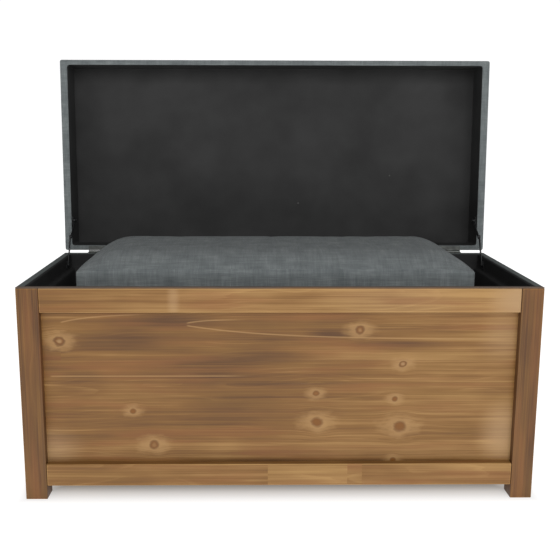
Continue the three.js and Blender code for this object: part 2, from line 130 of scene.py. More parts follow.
class Shader:
    """A material, and short calls that add nodes to it. A value is a number, a tuple or a socket."""

    def __init__(self, name, **surface):
        self.material = bpy.data.materials.new(name)
        self.material.use_nodes = True
        self.tree = self.material.node_tree
        self.principled = self.tree.nodes["Principled BSDF"]
        self.set(**surface)

    def set(self, **surface):
        """Feeds the surface's sockets, named with _ for each space."""
        for name, value in surface.items():
            self.feed(self.principled.inputs[name.replace("_", " ")], value)

    def feed(self, socket, value):
        if isinstance(value, bpy.types.NodeSocket):
            self.tree.links.new(value, socket)
        else:
            socket.default_value = value

    def node(self, kind, inputs, **settings):
        made = self.tree.nodes.new("ShaderNode" + kind)
        for key, value in settings.items():
            setattr(made, key, value)
        for key, value in dict(inputs).items():
            self.feed(made.inputs[key], value)
        return made

    def math(self, operation, *values):
        return self.node("Math", enumerate(values), operation=operation).outputs[0]

    def times(self, first, second):
        return self.math("MULTIPLY", first, second)

    def over(self, first, second):
        return self.math("DIVIDE", first, second)

    def minus(self, first, second):
        return self.math("SUBTRACT", first, second)

    def most(self, first, second):
        return self.math("MAXIMUM", first, second)

    def off(self, value, place):
        """How far a value is from a place."""
        return self.math("ABSOLUTE", self.minus(value, place))

    def add(self, base, factor, value):
        """The base and a factor times a value."""
        return self.math("MULTIPLY_ADD", value, factor, base)

    def sum(self, *terms):
        """The sum of numbers and of (factor, socket) pairs."""
        total = 0.0
        for term in terms:
            if isinstance(term, tuple):
                total = self.add(total, *term)
            else:
                total = self.math("ADD", total, term)
        return total

    def vector(self, operation, *values):
        made = self.node("VectorMath", enumerate(values), operation=operation)
        return made.outputs["Value" if operation == "LENGTH" else "Vector"]

    def join(self, x, y, z):
        return self.node("CombineXYZ", enumerate((x, y, z))).outputs[0]

    def split(self, vector):
        return self.node("SeparateXYZ", {0: vector}).outputs[:3]

    def length(self, x, y):
        return self.vector("LENGTH", self.join(x, y, 0.0))

    def place(self):
        """Where the surface point is on the piece, in millimetres."""
        position = self.node("TexCoord", {}).outputs["Object"]
        return self.vector("MULTIPLY", position, (1000.0,) * 3)

    def noise(self, vector, detail=2.0, roughness=0.5):
        """Noise from about -0.5 to 0.5."""
        inputs = {"Vector": vector, "Scale": 1.0, "Detail": detail, "Roughness": roughness}
        return self.minus(self.node("TexNoise", inputs).outputs[0], 0.5)

    def speckle(self, scale, **settings):
        """Noise with so many cells a millimetre, either all ways or along X, Y and Z."""
        scales = scale if isinstance(scale, tuple) else (scale,) * 3
        return self.noise(self.vector("MULTIPLY", self.place(), scales), **settings)

    def cells(self, scale, randomness):
        """How far a point is from the nearest cell's middle."""
        inputs = {"Vector": self.place(), "Scale": scale, "Randomness": randomness}
        return self.node("TexVoronoi", inputs).outputs["Distance"]

    def step(self, value, low, high):
        """0 below low, 1 above high, smooth between."""
        inputs = {"Value": value, "From Min": low, "From Max": high}
        return self.node("MapRange", inputs, interpolation_type="SMOOTHSTEP").outputs[0]

    def ramp(self, value, *stops):
        made = self.node("ValToRGB", {0: value})
        points = made.color_ramp.elements
        while len(points) < len(stops):
            points.new(0.5)
        for point, (position, colour) in zip(points, stops):
            point.position = position
            point.color = colour
        return made.outputs[0]

    def mix(self, factor, first, second):
        return self.node("Mix", {0: factor, 6: first, 7: second}, data_type="RGBA").outputs[2]

    def bump(self, height, depth):
        """depth is in millimetres."""
        bumps = self.node("Bump", {"Height": height, "Distance": depth * MM})
        self.set(Normal=bumps.outputs[0])


# ---- Wood
GRAIN = {"x": (0, 2, 1), "y": (1, 2, 0), "z": (2, 0, 1)}  # along, across and into the board
FAR = 99.0  # millimetres: no glue line is near
RING_WIDTH = 5.5  # millimetres between growth rings
DARK_PINE = srgb(89, 57, 28)
MIDDLE_PINE = srgb(129, 90, 43)
LIGHT_PINE = srgb(171, 132, 79)
RED_PINE = srgb(137, 87, 46)
OLIVE_PINE = srgb(131, 98, 43)
# colour of dark clouds: stain, and painted shade at the front panel's ends
CLOUD_AND_SHADE_PINE = srgb(86, 58, 34)
# colour of pale clouds: pale wood, and painted sheen and painted light on the front panel
PALE_AND_SHEEN_PINE = srgb(174, 145, 116)
KNOT_HALO = srgb(172, 134, 86)
KNOT_HEART = srgb(120, 72, 14)
KNOT_EDGE = srgb(84, 47, 16)
KNOT_PITH = srgb(178, 146, 104)


def edge_distance(shader, low, high):
    """How far a point on a box's surface is from the nearest edge of the box, in millimetres."""
    position = shader.place()
    from_low = shader.vector("SUBTRACT", position, tuple(low / MM))
    from_high = shader.vector("SUBTRACT", tuple(high / MM), position)
    a, b, c = shader.split(shader.vector("MINIMUM", from_low, from_high))
    smaller = shader.math("MINIMUM", a, b)
    larger = shader.most(a, b)
    return shader.most(smaller, shader.math("MINIMUM", larger, c))


def add_knots(shader, along, across, knots):
    """What knots at (along, across, radius, pale) do to a board: how far they push the grain aside,
    then their halo, heart, dark edge and pale pith as shares."""
    warp, halo, heart, edge, pith = 0.0, 0.0, 0.0, 0.0, 0.0
    ragged = shader.noise(shader.join(shader.times(along, 0.05), shader.times(across, 0.12), 0.0))
    for knot_along, knot_across, radius, pale in knots:
        a = shader.minus(along, knot_along)
        c = shader.minus(across, knot_across)
        round_off = shader.length(shader.times(a, 0.88), c)
        share = shader.over(shader.add(round_off, 0.9 * radius, ragged), radius)
        near = shader.math("POWER", 0.8, shader.times(share, share))
        warp = shader.add(warp, -0.75, shader.times(near, c))
        long_off = shader.length(shader.times(a, 0.6), c)
        halo_reach = shader.add(long_off, 2.2 * radius, ragged)
        halo = shader.most(halo, shader.step(halo_reach, 2.8 * radius, 0.8 * radius))
        heart = shader.most(heart, shader.step(share, 1.1, 0.5))
        ring = shader.step(shader.off(share, 0.8), 0.4, 0.03)
        edge = shader.most(edge, shader.times(ring, 0.3 + 0.3 * pale))
        pith = shader.add(pith, 0.8 * pale, shader.step(share, 0.7, 0.1))
    return warp, halo, heart, edge, pith


def add_clouds(shader, along, across, clouds):
    """How dark the soft clouds at (along, across, half length, half width, depth) make a board. A
    cloud of negative depth is pale."""
    dark = 0.0
    for cloud_along, cloud_across, half_length, half_width, depth in clouds:
        a = shader.over(shader.minus(along, cloud_along), half_length)
        c = shader.over(shader.minus(across, cloud_across), half_width)
        dark = shader.add(dark, depth, shader.step(shader.length(a, c), 1.0, 0.1))
    return dark


def add_veins(shader, along, across, veins):
    """Pale grain lines at (start, end, across, swing, decay): each starts swing off its height and
    runs out to it."""
    pale = 0.0
    for start, end, height, swing, decay in veins:
        run = shader.most(shader.minus(along, start), 0.0)
        fall = shader.math("POWER", math.exp(-1 / decay), run)
        line = shader.step(shader.off(across, shader.add(height, swing, fall)), 1.9, 0.2)
        begun = shader.step(along, start - 3, start + 3)
        ended = shader.step(along, end, end - 60)
        pale = shader.most(pale, shader.times(line, shader.times(begun, ended)))
    return pale


def add_staves(shader, along, across, seed, lines, blocks):
    """A number of its own for the stave that a point is in, and how far the point is from a glue
    line."""
    stave, joint = float(seed), FAR
    for line in lines:
        stave = shader.math("ADD", stave, shader.math("GREATER_THAN", across, line))
        joint = shader.math("MINIMUM", joint, shader.off(across, line))
    for low, high, start in blocks:
        above = shader.math("GREATER_THAN", across, low)
        below = shader.math("LESS_THAN", across, high)
        beyond = shader.math("GREATER_THAN", along, start)
        stave = shader.add(stave, 0.5, shader.times(shader.times(above, below), beyond))
    return stave, joint


def pine(
    node, grain, seed, tone=0.0, drift=0.0,
    lines=(), blocks=(), knots=(), clouds=(), veins=(), pooled=(),
):
    """Stained softwood, smooth and softly streaked. tone and drift are how much lighter the board is
    all over and at its far end; lines are heights where staves are glued; blocks (low, high, start)
    are where a stave changes along its length; pooled are (axis, place) planes whose faces are
    darkened as painted shade, where a post meets the panels."""
    shader = Shader(f"pine_{node}", Coat_Weight=0.08, Coat_Roughness=0.35, Specular_IOR_Level=0.35)
    axes = shader.split(shader.place())
    along, across, depth = (axes[axis] for axis in GRAIN[grain])
    low, high = own_box(node)
    middle = [(low[axis] + high[axis]) / 2 / MM for axis in GRAIN[grain]]
    start, end = (corner[GRAIN[grain][0]] / MM for corner in (low, high))
    stave, joint = add_staves(shader, along, across, seed, lines, blocks)
    draw = shader.node("TexWhiteNoise", {"W": stave}, noise_dimensions="1D").outputs["Color"]
    first, second, third = shader.split(draw)

    warp, halo, heart, edge, pith = add_knots(shader, along, across, knots)
    cloud = add_clouds(shader, along, across, clouds)
    vein = add_veins(shader, along, across, veins)
    spread = shader.math("ADD", across, warp)

    def stretched(reach, width, offset, own_stave=7.0, **settings):
        """Noise about reach millimetres along the grain and width across it."""
        vector = shader.join(
            shader.over(along, reach),
            shader.over(spread, width),
            shader.sum((1 / width, depth), (own_stave, stave), offset),
        )
        return shader.noise(vector, **settings)

    sway = stretched(300.0, 130.0, 1.0)
    roll = stretched(480.0, 170.0, 5.0)
    from_pith = shader.length(
        shader.sum((1.0, spread), -middle[1], (60.0, first), -30.0, (40.0, sway)),
        shader.sum((1.0, depth), -middle[2], (60.0, second), 40.0, (60.0, roll)),
    )
    growth = shader.over(from_pith, RING_WIDTH)
    ring = shader.math("FRACT", shader.math("ADD", growth, stretched(160.0, 14.0, 3.0)))
    late = shader.times(shader.step(ring, 0.6, 0.95), shader.step(ring, 1.0, 0.96))
    clear = shader.step(stretched(200.0, 30.0, 41.0), -0.08, 0.16)
    late = shader.times(late, clear)
    streak = stretched(420.0, 7.0, 11.0, detail=3.0, roughness=0.55)
    hair = stretched(240.0, 1.7, 13.0, detail=1.0)
    band = stretched(520.0, 30.0, 17.0)
    patch = stretched(130.0, 46.0, 19.0, own_stave=0.0)
    fibre = stretched(30.0, 0.8, 23.0)
    # Edges are paler: rubbed stain, and a painted highlight along the arrises.
    edge_wear_and_highlight = shader.step(edge_distance(shader, low, high), 2.4, 0.5)
    rubbed = shader.times(edge_wear_and_highlight, shader.math("ADD", stretched(60.0, 12.0, 29.0), 0.7))
    glue = shader.step(joint, 0.8, 0.2)
    # painted shade: corner darkens a post's inner faces, where it meets the panels
    corner = 0.0
    for axis, plane in pooled:
        corner = shader.most(corner, shader.step(shader.off(axes[axis], plane / MM), 1.3, 0.3))
    # In light, rubbed is wear with a painted highlight, corner is painted shade, and cloud is stain clouds
    # and, on the front panel, painted shade, sheen and light.
    light = shader.sum(
        0.46 + tone - drift * start / (end - start),
        (drift / (end - start), along),
        (0.6, streak), (0.42, hair), (0.42, band), (0.4, patch), (0.1, fibre), (0.12, third), -0.06,
        (0.11, late), (0.4, rubbed), (-0.07, glue), (-0.55, cloud), (-0.7, corner),
    )
    stain = shader.ramp(light, (0.14, DARK_PINE), (0.5, MIDDLE_PINE), (0.86, LIGHT_PINE))
    warmth = stretched(210.0, 22.0, 31.0)
    stain = shader.mix(shader.times(shader.step(warmth, 0.0, 0.22), 0.45), stain, RED_PINE)
    stain = shader.mix(shader.times(shader.step(warmth, 0.0, -0.22), 0.2), stain, OLIVE_PINE)
    # dark clouds: stain, and painted shade at the front panel's ends; pale clouds: pale wood, and painted
    # sheen and painted light
    stain = shader.mix(shader.times(cloud, 0.5), stain, CLOUD_AND_SHADE_PINE)
    stain = shader.mix(shader.times(cloud, -0.9), stain, PALE_AND_SHEEN_PINE)
    stain = shader.mix(shader.times(vein, 0.6), stain, KNOT_HALO)
    if knots:
        stain = shader.mix(shader.times(halo, 0.6), stain, KNOT_HALO)
        stain = shader.mix(shader.times(heart, 0.93), stain, KNOT_HEART)
        stain = shader.mix(edge, stain, KNOT_EDGE)
        stain = shader.mix(pith, stain, KNOT_PITH)
    shader.set(Base_Color=stain, Roughness=shader.sum(0.48, (0.25, fibre), (-0.06, late), (0.1, rubbed)))
    shader.bump(shader.sum((0.35, fibre), (0.2, hair), (0.3, late), (-0.7, glue), (-0.4, edge)), 0.2)
    return shader.material


PLY = 1.5  # millimetres: the thickness of one layer
PLY_SHADES = ((0.2, srgb(150, 116, 76)), (0.5, srgb(188, 156, 112)), (0.85, srgb(214, 188, 148)))


def plywood(node):
    """Bare board: a pale grain on the faces and stacked layers on the edges."""
    shader = Shader(f"ply_{node}", Specular_IOR_Level=0.3)
    low, high = own_box(node)
    size = high - low
    thin = min(range(3), key=lambda axis: size[axis])
    x, y, z = shader.split(shader.place())
    drawn_out = shader.join(shader.over(x, 160.0), shader.over(y, 7.0), shader.over(z, 7.0))
    grain = shader.noise(drawn_out, detail=3.0)
    speckle = shader.speckle((0.5, 2.0, 2.0))
    layers = shader.math("SINE", shader.times((x, y, z)[thin], math.pi / PLY))
    on_edge = shader.step(edge_distance(shader, low, high), 1.2, 0.6)
    light = shader.sum(0.5, (0.7, grain), (0.25, speckle), (0.25, shader.times(layers, on_edge)))
    colour = shader.ramp(light, *PLY_SHADES)
    shader.set(Base_Color=colour, Roughness=shader.sum(0.72, (0.2, grain)))
    shader.bump(shader.sum((0.6, speckle), (0.6, grain)), 0.2)
    return shader.material


# ---- Cloth, edging, metal and foam
def woven_axes(shader):
    """Two directions along the cloth, in millimetres: over the top they follow X and Y, on the
    front and back X and Z, and on the ends Y and Z."""
    x, y, z = shader.split(shader.place())
    normal = shader.node("TexCoord", {}).outputs["Normal"]
    facing = shader.split(shader.vector("ABSOLUTE", normal))
    other = shader.most(facing[1], facing[2])
    sideways = shader.math("GREATER_THAN", facing[0], other)
    level = shader.most(facing[0], facing[1])
    upward = shader.math("GREATER_THAN", facing[2], level)
    return shader.add(x, sideways, shader.minus(y, x)), shader.add(z, upward, shader.minus(y, z))


PITCH = 1.1  # millimetres between the threads of the weave
WEAVE_SHADES = ((0.1, srgb(86, 91, 93)), (0.5, srgb(118, 124, 125)), (0.9, srgb(154, 160, 158)))
FLECK = srgb(186, 190, 186)


def upholstery(name):
    """Grey linen-look weave with thick and thin threads both ways."""
    shader = Shader(name, Specular_IOR_Level=0.2, Sheen_Weight=0.12, Sheen_Roughness=0.5)
    weft, warp = woven_axes(shader)

    def noise(along_weft, along_warp, offset):
        return shader.noise(shader.join(shader.over(weft, along_weft), shader.over(warp, along_warp), offset))

    def threads(length, width, offset):
        """Threads of a length and a width that lie along the weft, and along the warp."""
        return noise(length, width, offset), noise(width, length, offset + 9)

    over_weft, over_warp = (
        shader.math("SINE", shader.times(place, 2 * math.pi / PITCH)) for place in (weft, warp)
    )
    weave = shader.times(over_weft, over_warp)
    slub_weft, slub_warp = threads(26.0, 1.3, 0.0)
    band_weft, band_warp = threads(70.0, 5.0, 21.0)
    mottle = noise(30.0, 30.0, 3.0)
    light = shader.sum(
        0.48, (0.4, slub_weft), (0.4, slub_warp), (0.35, band_weft), (0.3, band_warp),
        (0.5, mottle), (0.09, weave),
    )
    fleck = shader.step(shader.sum((1.0, slub_warp), (0.5, band_warp)), 0.27, 0.38)
    colour = shader.mix(shader.times(fleck, 0.6), shader.ramp(light, *WEAVE_SHADES), FLECK)
    shader.set(Base_Color=colour, Roughness=shader.sum(0.86, (0.15, slub_weft)))
    shader.bump(shader.sum((0.5, weave), (1.6, slub_weft), (1.6, slub_warp)), 0.35)
    return shader.material


STOPS = (0.15, 0.5, 0.9)  # where a dark, a middle and a light shade are on a ramp
LINT = srgb(150, 150, 146)


def lining_cloth(name, *greys):
    """Non-woven cloth in a dark, a middle and a light grey, with small embossed dots, stray fibres
    and lint."""
    shader = Shader(name, Specular_IOR_Level=0.2)
    dimple = shader.step(shader.cells(0.45, 0.15), 0.15, 0.4)
    fibre = shader.noise(shader.place(), detail=3.0, roughness=0.7)
    cloud = shader.speckle(0.012)
    lint = shader.step(shader.cells(0.02, 1.0), 0.035, 0.015)
    shade = shader.sum(0.5, (0.5, fibre), (0.6, cloud), (0.08, dimple))
    colour = shader.ramp(shade, *((stop, srgb(grey, grey, grey)) for stop, grey in zip(STOPS, greys)))
    colour = shader.mix(shader.times(lint, 0.5), colour, LINT)
    shader.set(Base_Color=colour, Roughness=shader.sum(0.92, (0.1, fibre)))
    shader.bump(shader.sum((0.8, dimple), (0.5, fibre)), 0.2)
    return shader.material


CHARCOAL = (srgb(76, 81, 80), srgb(100, 106, 105), srgb(126, 131, 129))
WORN_CHARCOAL = (srgb(78, 68, 62), srgb(112, 97, 86), srgb(142, 122, 104))
BARE_WOOD = srgb(122, 92, 66)


def edging(name, node, shades, worn):
    """Matt edging in dark, middle and light shades, rubbed through to the wood by the share worn."""
    shader = Shader(name, Specular_IOR_Level=0.3)
    brushed = shader.speckle(0.9, detail=4.0, roughness=0.65)
    patch = shader.speckle((0.01, 0.03, 0.03), detail=3.0)
    colour = shader.ramp(shader.sum(0.5, (0.7, brushed), (0.5, patch)), *zip(STOPS, shades))
    rub = shader.step(edge_distance(shader, *own_box(node)), 3.5, 0.3)
    rub = shader.times(rub, shader.step(shader.sum((1.0, patch), worn), 0.15, 0.5))
    shader.set(Base_Color=shader.mix(rub, colour, BARE_WOOD))
    shader.set(Roughness=shader.sum(0.78, (0.2, brushed)))
    shader.bump(brushed, 0.15)
    return shader.material


def metal(name, dark, light, roughness, metallic):
    """Plated or painted steel with fine scratches and dull patches."""
    shader = Shader(name, Metallic=metallic)
    scratch = shader.speckle((0.08, 2.5, 2.5), detail=3.0)
    patch = shader.speckle(0.12)
    light_share = shader.sum(0.5, (0.6, scratch), (0.8, patch))
    shader.set(Base_Color=shader.ramp(light_share, (0.2, dark), (0.85, light)))
    shader.set(Roughness=shader.sum(roughness, (0.25, patch), (0.15, scratch)))
    shader.bump(scratch, 0.05)
    return shader.material


FOAM_SHADES = ((0.1, srgb(176, 160, 118)), (0.6, srgb(226, 214, 176)), (1.0, srgb(238, 230, 200)))


def foam_material(name):
    """Cream polyurethane foam with open pores."""
    shader = Shader(name, Specular_IOR_Level=0.2)
    pores = shader.cells(0.9, 1.0)
    cloud = shader.speckle(0.03)
    light = shader.sum(0.3, (0.6, pores), (0.5, cloud))
    shader.set(Base_Color=shader.ramp(light, *FOAM_SHADES), Roughness=shader.sum(0.9, (0.1, cloud)))
    shader.bump(pores, 0.4)
    return shader.material


# ---- Mesh helpers
WELD = 0.02 * MM
FLAT = math.radians(0.5)
SHARP = math.radians(35)


def add_object(name, data):
    made = bpy.data.objects.new(name, data)
    bpy.context.scene.collection.objects.link(made)
    return made


def piece_from(bm, name, material):
    """Turns a bmesh into a smooth-shaded object of its own."""
    bm.normal_update()
    mesh = bpy.data.meshes.new(name)
    bm.to_mesh(mesh)
    bm.free()
    mesh.shade_smooth()
    mesh.materials.append(material)
    return add_object(name, mesh)


def eased_copy(node, name, radius, material, slot):
    """A CAD node's own shape with its sharp edges rounded, standing for that node."""
    body = frame["nodes"][node]["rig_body"]
    bm = bmesh.new()
    bm.from_mesh(frame["nodes"][node].data)
    if body == "lid":
        bm.transform(SHUT)
    bmesh.ops.remove_doubles(bm, verts=bm.verts, dist=WELD)
    bmesh.ops.dissolve_limit(bm, angle_limit=FLAT, verts=bm.verts, edges=bm.edges)
    sharp = [edge for edge in bm.edges if edge.calc_face_angle(0) > SHARP]
    bmesh.ops.bevel(
        bm, geom=sharp, offset=radius, segments=3, profile=0.5, affect="EDGES", clamp_overlap=True
    )
    piece = piece_from(bm, name, material)
    piece.modifiers.new("flat_faces", "WEIGHTED_NORMAL").keep_sharp = True
    return settle(piece, body, slot, node)


def pine_copy(node, radius, *grain_and_seed, **looks):
    return eased_copy(node, f"pine_{node}", radius, pine(node, *grain_and_seed, **looks), "stained_pine")


def ply_copy(node, radius):
    return eased_copy(node, f"ply_{node}", radius, plywood(node), "plywood")


def rows(length, edge_steps, step):
    """Places from 0 to length: the given steps in from both ends, and about step between."""
    edge = list(accumulate(edge_steps, initial=0.0))
    inner = length - 2 * edge[-1]
    count = max(1, round(inner / step))
    middle = [edge[-1] + inner * k / count for k in range(1, count)]
    return edge + middle + [length - place for place in reversed(edge)]


def block_skin(grid, rim):
    """Lattice points and quads over a block of grid = (xs, ys, zs): its top, its walls, and its
    underside, which is closed or goes in by a rim of so many cells along X and along Y."""
    nx, ny, nz = (len(places) - 1 for places in grid)
    index = {}

    def corner(i, j, k):
        return index.setdefault((i, j, k), len(index))

    quads = []

    def quad(*corners):
        quads.append([corner(*point) for point in corners])

    for i, j in product(range(nx), range(ny)):
        quad((i, j, nz), (i + 1, j, nz), (i + 1, j + 1, nz), (i, j + 1, nz))
        if rim is None or not (rim[0] <= i < nx - rim[0] and rim[1] <= j < ny - rim[1]):
            quad((i, j, 0), (i, j + 1, 0), (i + 1, j + 1, 0), (i + 1, j, 0))
    for k in range(nz):
        for i in range(nx):
            quad((i, 0, k), (i + 1, 0, k), (i + 1, 0, k + 1), (i, 0, k + 1))
            quad((i, ny, k), (i, ny, k + 1), (i + 1, ny, k + 1), (i + 1, ny, k))
        for j in range(ny):
            quad((0, j, k), (0, j, k + 1), (0, j + 1, k + 1), (0, j + 1, k))
            quad((nx, j, k), (nx, j + 1, k), (nx, j + 1, k + 1), (nx, j, k + 1))
    return list(index), quads


def skin_piece(name, points, quads, material):
    bm = bmesh.new()
    made = [bm.verts.new(point) for point in points]
    for quad in quads:
        bm.faces.new([made[corner] for corner in quad])
    return piece_from(bm, name, material)


def solidify(piece, thickness, offset):
    made = piece.modifiers.new("thickness", "SOLIDIFY")
    made.thickness = thickness
    made.offset = offset
    made.use_even_offset = True


def subdivide(piece):
    made = piece.modifiers.new("smooth", "SUBSURF")
    made.levels = made.render_levels = 1


# ---- Upholstered pads
EDGE_ROLL = 2.5 * MM  # height and width of the rolled edge above a pad's seam
SEAM = 0.9 * MM  # depth of the seam between the top and the band
COVER_CORNER = 4 * MM  # radius of a cover's upright corners
FOAM_CORNER = 3 * MM
RIPPLE = 0.35 * MM  # how far a cover's cloth stands off a smooth shape
LIFT = 3 * MM  # what a cover's top stays under when the simulation raises it
SIMULATED_FRAMES = 20
COVER_EDGE = [1.2 * MM, 1.8 * MM, 3 * MM, 4 * MM]  # narrow rows of cells beside every cloth edge


def dome(distance, crown, shoulder):
    """A pad's rise as a share of its crown, at a distance in from its edge."""
    roll = 1 - min(1.0, distance / EDGE_ROLL)
    fall = 1 - min(1.0, distance / shoulder)
    share = EDGE_ROLL / crown
    return share * math.sqrt(1 - roll * roll) + (1 - share) * (1 - fall * fall)


def rounded_corner(x, y, half_x, half_y, radius):
    """Moves a point of a rectangle so that the rectangle's corners become round."""
    a, b = abs(x) - (half_x - radius), abs(y) - (half_y - radius)
    if a <= 0 or b <= 0:
        return x, y
    shrink = max(a, b) / math.hypot(a, b)
    return (
        math.copysign(half_x - radius + a * shrink, x),
        math.copysign(half_y - radius + b * shrink, y),
    )


def pad_points(lattice, grid, low, crown, shoulder, corner, ripple):
    """Where a pad's lattice points are, from its lowest corner: upright walls, a seam, a rolled edge
    and a crowned top that slopes over the shoulder's two widths, along X and along Y."""
    xs, ys, zs = grid
    half_x, half_y = xs[-1] / 2, ys[-1] / 2
    origin = low + Vector((half_x, half_y, 0))
    top = len(zs) - 1
    points = []
    for i, j, k in lattice:
        x, y = rounded_corner(xs[i] - half_x, ys[j] - half_y, half_x, half_y, corner)
        z = zs[k]
        from_x, from_y = min(xs[i], xs[-1] - xs[i]), min(ys[j], ys[-1] - ys[j])
        if k == top:
            rise = dome(from_x, crown, shoulder[0]) * dome(from_y, crown, shoulder[1])
            z += crown * rise
            if rise == 0:
                x -= math.copysign(SEAM, x) * (from_x == 0)
                y -= math.copysign(SEAM, y) * (from_y == 0)
        broad, fine = (noise.noise(Vector((x, y, z)) * cells_a_metre) for cells_a_metre in (17, 41))
        swell = ripple * (broad + 0.6 * fine)
        if k == top:
            z += swell * min(1.0, from_x / shoulder[0], from_y / shoulder[1])
        elif k > 0:
            x += math.copysign(abs(swell), x) * (from_x == 0)
            y += math.copysign(abs(swell), y) * (from_y == 0)
        points.append(origin + Vector((x, y, z)))
    return points


def inflate(piece, held):
    """Blows the cloth up a little with a cloth simulation, with the held points pinned. A point is
    lifted by what it rose, always by less than LIFT, and never sinks into the foam."""
    rest = [vertex.co.copy() for vertex in piece.data.vertices]
    pins = piece.vertex_groups.new(name="pins")
    pins.add(held, 1.0, "REPLACE")
    cloth = piece.modifiers.new("cloth", "CLOTH")
    cloth.settings.vertex_group_mass = "pins"
    cloth.settings.use_pressure = True
    cloth.settings.uniform_pressure_force = 4.0
    cloth.settings.shrink_min = -0.008
    cloth.settings.effector_weights.gravity = 0.0
    cloth.collision_settings.use_self_collision = False
    scene = bpy.context.scene
    scene.frame_start, scene.frame_end = 1, SIMULATED_FRAMES
    for number in range(1, SIMULATED_FRAMES + 1):
        scene.frame_set(number)
    blown = piece.evaluated_get(bpy.context.evaluated_depsgraph_get())
    moved = [vertex.co.copy() for vertex in blown.data.vertices]
    piece.modifiers.remove(cloth)
    piece.vertex_groups.clear()
    for vertex, start, end in zip(piece.data.vertices, rest, moved):
        rise = max(0.0, end.z - start.z)
        vertex.co = start + Vector((0, 0, rise * LIFT / (LIFT + rise)))
    scene.frame_set(1)


def pad_cover(name, crown, shoulder, rim_x, rim_y, cell):
    """A pad's cloth cover: the top is blown up over the foam, the walls are stretched over boards,
    and the lower edge is turned in under the rim."""
    low, high = own_box(f"{name}_cover")
    size = high - low
    edge_x = COVER_EDGE + ([rim_x - sum(COVER_EDGE)] if rim_x else [])
    edge_y = COVER_EDGE + ([rim_y - sum(COVER_EDGE)] if rim_y > sum(COVER_EDGE) else [])
    xs, ys = rows(size.x, edge_x, cell), rows(size.y, edge_y, cell)
    zs = rows(size.z - crown, COVER_EDGE[:3], cell)
    rim = (len(edge_x), len(edge_y)) if rim_x else (0, 0)
    lattice, quads = block_skin((xs, ys, zs), rim)
    points = pad_points(lattice, (xs, ys, zs), low, crown, shoulder, COVER_CORNER, RIPPLE)
    piece = skin_piece(f"{name}_upholstery", points, quads, upholstery(f"{name}_weave"))
    top, firm = len(zs) - 1, len(COVER_EDGE)
    held = [
        n
        for n, (i, j, k) in enumerate(lattice)
        if k < top or min(i, len(xs) - 1 - i, j, len(ys) - 1 - j) <= firm
    ]
    inflate(piece, held)
    solidify(piece, FABRIC, -1)
    subdivide(piece)
    return piece


def pad_foam(name, crown, shoulder):
    """The foam under a cover, a little smaller all round."""
    low, high = own_box(f"{name}_foam")
    rise = crown - 2 * FABRIC
    wall = own_box(f"{name}_cover")[1].z - crown - low.z - GAP
    xs, ys = (rows(length, COVER_EDGE, 14 * MM) for length in (high - low)[:2])
    zs = [0.0, 2 * MM, max(wall - 2 * MM, 3 * MM), max(wall, 4.5 * MM)]
    lattice, quads = block_skin((xs, ys, zs), None)
    points = pad_points(lattice, (xs, ys, zs), low, rise, shoulder, FOAM_CORNER, 0.0)
    piece = skin_piece(f"{name}_pad_foam", points, quads, foam_material(f"{name}_foam"))
    subdivide(piece)
    return piece


def build_pad(name, body, crown, shoulder, rim_x, rim_y, cell):
    """A pad's foam and its cover, on the CAD nodes that share its name."""
    foam = pad_foam(name, crown, shoulder)
    settle(foam, body, "foam", f"{name}_foam")
    cover = pad_cover(name, crown, shoulder, rim_x, rim_y, cell)
    settle(cover, body, "grey_upholstery", f"{name}_cover")


# ---- Linings
LINING = 0.8 * MM  # thickness of the non-woven cloth
WAVE = 0.9 * MM
LINING_CELL = 12 * MM


def grid_quads(rows_count, row_length):
    """The quads between points that are listed row after row."""
    firsts = [i * row_length + j for i, j in product(range(rows_count - 1), range(row_length - 1))]
    return [[n, n + 1, n + 1 + row_length, n + row_length] for n in firsts]


def finish_lining(piece, body, node):
    solidify(piece, LINING, 0)
    subdivide(piece)
    return settle(piece, body, "black_lining", node)


def waves(place):
    """How far a lining stands off what it covers, from 0 to WAVE."""
    slow = noise.noise(Vector((place.x * 7, place.y * 7, place.z * 9)))
    quick = noise.noise(Vector((place.x * 23, place.y * 23, place.z * 23)))
    return WAVE * min(1.0, max(0.0, 0.5 + 0.8 * slow + 0.25 * quick))


def wall_lining(side, material):
    """The cloth on one inner wall: it is folded over the rim, hangs behind the top rail, steps in
    over the panel's top edge, and runs down to the floor."""
    node = f"lining_{side}"
    low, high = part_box(node)
    panel_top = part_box(f"panel_{side}")[1].z
    across = side in SIDES
    sign = SIDES[side] if across else ENDS[side]
    normal_axis, run_axis = (0, 1) if across else (1, 0)
    near, far = (low, high) if sign > 0 else (high, low)
    outer = far[normal_axis]
    rail_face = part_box(f"top_rail_{side}")[sign < 0][normal_axis]
    hang = rail_face - sign * (GAP + FABRIC / 2)
    fall = near[normal_axis] + sign * FABRIC / 2
    step = fall - hang
    fold = hang - outer
    rim = high.z - FABRIC / 2
    ledge = panel_top + GAP + FABRIC / 2
    over_rim = ((0, 0), (0.4, 0), (0.85, -0.1), (1, -1), (1, -3))
    over_ledge = ((0, 12), (0.03, 4), (0.2, 0.8), (0.5, 0.1), (0.88, 0), (1, -2.5), (1, -8))
    profile = [
        *((outer + share * fold, rim + up * MM) for share, up in over_rim),
        (hang, (rim + ledge) / 2),
        *((hang + share * step, ledge + up * MM) for share, up in over_ledge),
    ]
    bend = profile[-1][1]
    count = round((bend - low.z) / LINING_CELL)
    profile += [(fall, bend - (bend - low.z) * (n + 1) / count) for n in range(count)]
    width = high[run_axis] - low[run_axis]
    runs = rows(width, [3 * MM], LINING_CELL)
    mitre = hang if across else outer - sign * FABRIC / 2
    points = []
    for depth, height in profile:
        inset = max(0.0, sign * (mitre - depth))
        for run in runs:
            point = Vector((0, 0, height))
            point[normal_axis] = depth
            point[run_axis] = low[run_axis] + inset + run * (width - 2 * inset) / width
            free = min(1.0, max(0.0, (bend - height) / (40 * MM)))
            point[normal_axis] -= sign * waves(point) * free
            points.append(point)
    quads = grid_quads(len(profile), len(runs))
    piece = skin_piece(f"wall_lining_{side}", points, quads, material)
    finish_lining(piece, "chest", node)
    return piece


